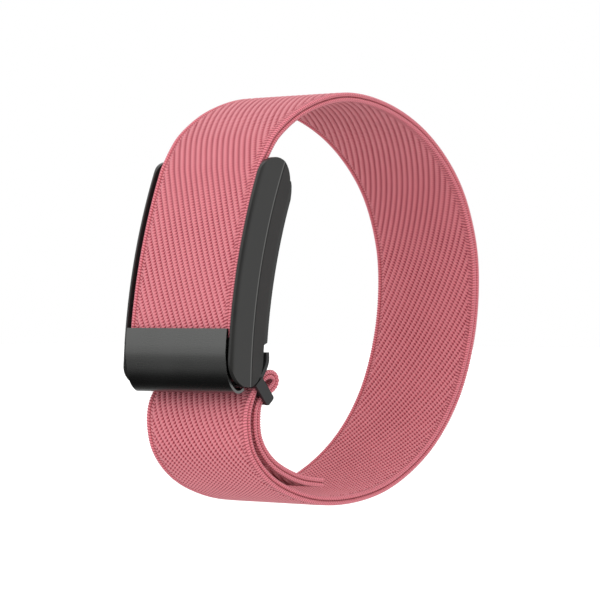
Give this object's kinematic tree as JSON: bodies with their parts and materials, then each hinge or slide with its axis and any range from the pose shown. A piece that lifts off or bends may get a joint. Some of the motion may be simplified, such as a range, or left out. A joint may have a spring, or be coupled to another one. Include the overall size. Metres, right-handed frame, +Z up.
{
  "type": "fitness tracker band",
  "caption": "Screenless wrist tracker: a curved sensor pod in a woven loop strap, with a fold-over metal cover hinged on a strap slider.",
  "frame": {"origin": "middle of the strap's loop, on the axis of the wrist it goes round", "axes": "+X along the wrist, across the strap's width; -Y out through the pod's outer face; +Z up, towards the strap's top bend"},
  "size_m": [0.0272, 0.0739, 0.0764],
  "materials": {
    "knit": "woven, matte",
    "pod_plastic": "fine matte",
    "frame_plastic": "matte",
    "cover_metal": "dark satin coating",
    "pin_steel": "plain",
    "window_glass": "polished, dark tinted",
    "seal_rubber": "matte",
    "board": "solder-masked laminate",
    "chip": "moulded package",
    "battery_foil": "pouch foil",
    "copper": "bare copper colour",
    "ferrite": "sintered, matte",
    "led_green": "clear tinted",
    "led_red": "clear tinted",
    "silicon": "polished"
  },
  "bodies": {
    "tracker": {"pod_outer_cover": "pod_plastic", "pod_skin_cover": "pod_plastic", "perimeter_gasket": "seal_rubber", "sensor_window": "window_glass", "light_barrier": "seal_rubber", "sensor_board": "board", "green_led_left": "led_green", "green_led_middle": "led_green", "green_led_right": "led_green", "red_led": "led_red", "infrared_led": "silicon", "photodiode_1": "silicon", "photodiode_2": "silicon", "photodiode_3": "silicon", "photodiode_4": "silicon", "skin_temperature_contact": "pin_steel", "main_board": "board", "processor_chip": "chip", "memory_chip": "chip", "radio_chip": "chip", "motion_sensor_chip": "chip", "battery_cell": "battery_foil", "coil_shield": "ferrite", "charging_coil": "copper", "antenna_strip": "copper", "motor_base": "pin_steel", "motor_shaft": "pin_steel", "motor_can": "pin_steel", "clasp_frame": "frame_plastic", "hinge_pin": "pin_steel", "strap": "knit", "strap_end_bar": "pin_steel"},
    "cover": {"clasp_cover": "cover_metal"},
    "rotor": {"motor_rotor": "pin_steel"}
  },
  "joints": [
    {"name": "cover_hinge", "type": "hinge", "parent": "tracker", "child": "cover", "pos_m": [0, -0.0289, -0.0158], "axis": [1, 0, 0], "range_deg": [0, 75]},
    {"name": "rotor_spin", "type": "hinge", "parent": "tracker", "child": "rotor", "pos_m": [0.0073, -0.02823, -0.00816], "axis": [0, -0.9959, 0.0907], "continuous": true}
  ]
}
